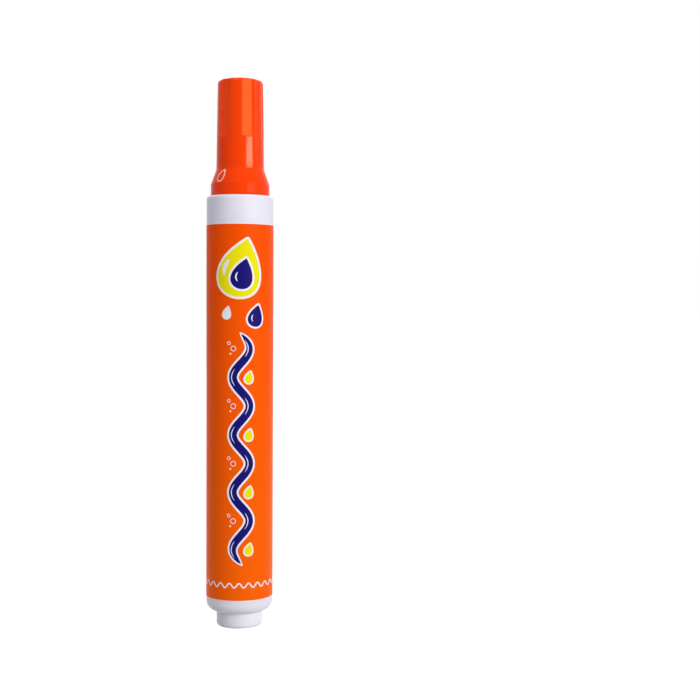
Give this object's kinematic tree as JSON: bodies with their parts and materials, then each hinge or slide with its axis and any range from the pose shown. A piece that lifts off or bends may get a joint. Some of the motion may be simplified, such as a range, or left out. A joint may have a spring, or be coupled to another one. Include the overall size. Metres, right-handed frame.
{
  "type": "stain remover pen",
  "caption": "Pocket stain remover pen: a capped barrel of cleaning fluid whose felt nib opens a spring valve when it is pressed on a stain.",
  "frame": {"origin": "centre of the stub's flat end, which the pen stands on", "axes": "+Z along the pen's axis, from the tail to the cap; the picture looks roughly along +Y"},
  "size_m": [0.0172, 0.0172, 0.1394],
  "materials": {
    "white_plastic": "smooth moulded, semi-gloss",
    "label_film": "printed film, glossy",
    "cap_plastic": "smooth moulded, glossy",
    "natural_plastic": "uncoloured moulded, waxy",
    "felt": "bonded fibre, porous",
    "seal_rubber": "soft, matte",
    "spring_steel": "drawn stainless wire",
    "cleaning_fluid": "clear liquid"
  },
  "bodies": {
    "pen": {"barrel": "white_plastic", "tail_plug": "white_plastic", "label_sleeve": "label_film", "front_section": "white_plastic", "valve_body": "natural_plastic", "valve_spring": "spring_steel", "spring_cup": "natural_plastic", "cleaning_fluid": "cleaning_fluid"},
    "nib_unit": {"nib": "felt", "nib_carrier": "natural_plastic", "valve_stem": "natural_plastic", "valve_seal": "seal_rubber"},
    "cap": {"cap_shell": "cap_plastic", "cap_liner": "natural_plastic"}
  },
  "joints": [
    {"name": "cap_pull", "type": "slide", "parent": "pen", "child": "cap", "axis": [0, 0, 1], "range_m": [0, 0.03]},
    {"name": "nib_press", "type": "slide", "parent": "pen", "child": "nib_unit", "axis": [0, 0, -1], "range_m": [0, 0.0018], "stiffness_N_per_m": 400, "springref_m": -0.003, "deforming": ["valve_spring"]}
  ]
}
